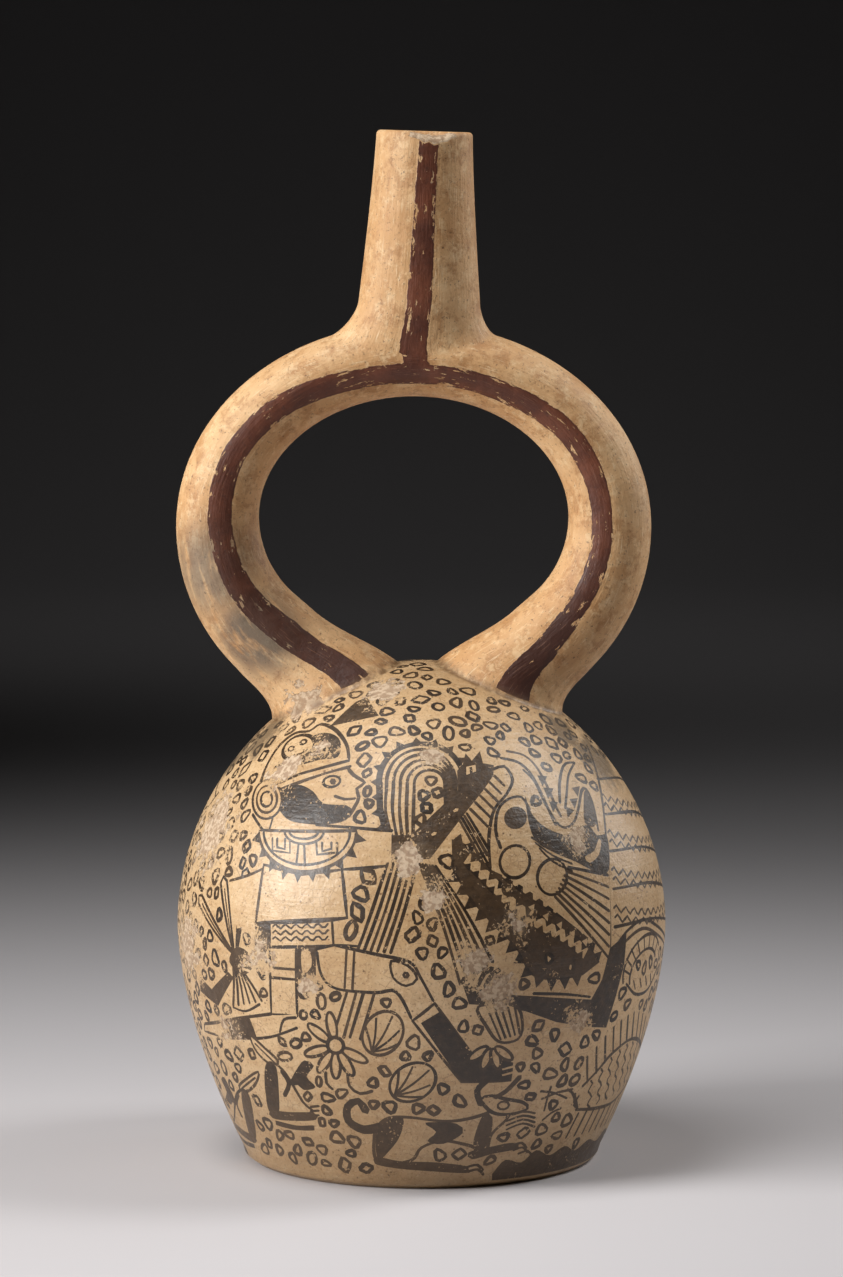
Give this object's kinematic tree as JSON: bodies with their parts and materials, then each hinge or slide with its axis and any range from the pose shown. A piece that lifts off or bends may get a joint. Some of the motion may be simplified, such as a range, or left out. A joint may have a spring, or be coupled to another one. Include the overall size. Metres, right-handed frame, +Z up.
{
  "type": "stirrup spout vessel",
  "caption": "Hollow fired-clay bottle: a round chamber on a flat foot, a tube looped over it like a stirrup, and a tapered spout on the loop, with fine-line painting all round.",
  "frame": {"origin": "centre of the flat foot, on the surface that the vessel stands on", "axes": "+Z up, through the chamber and the spout; +X along the stirrup's plane; -Y the painted front"},
  "size_m": [0.1386, 0.1386, 0.291],
  "materials": {
    "fired_clay": "cream slip with dark brown line painting, burnished to a low sheen, worn and flaked in patches"
  },
  "bodies": {
    "root": {"vessel": "fired_clay"}
  },
  "joints": []
}
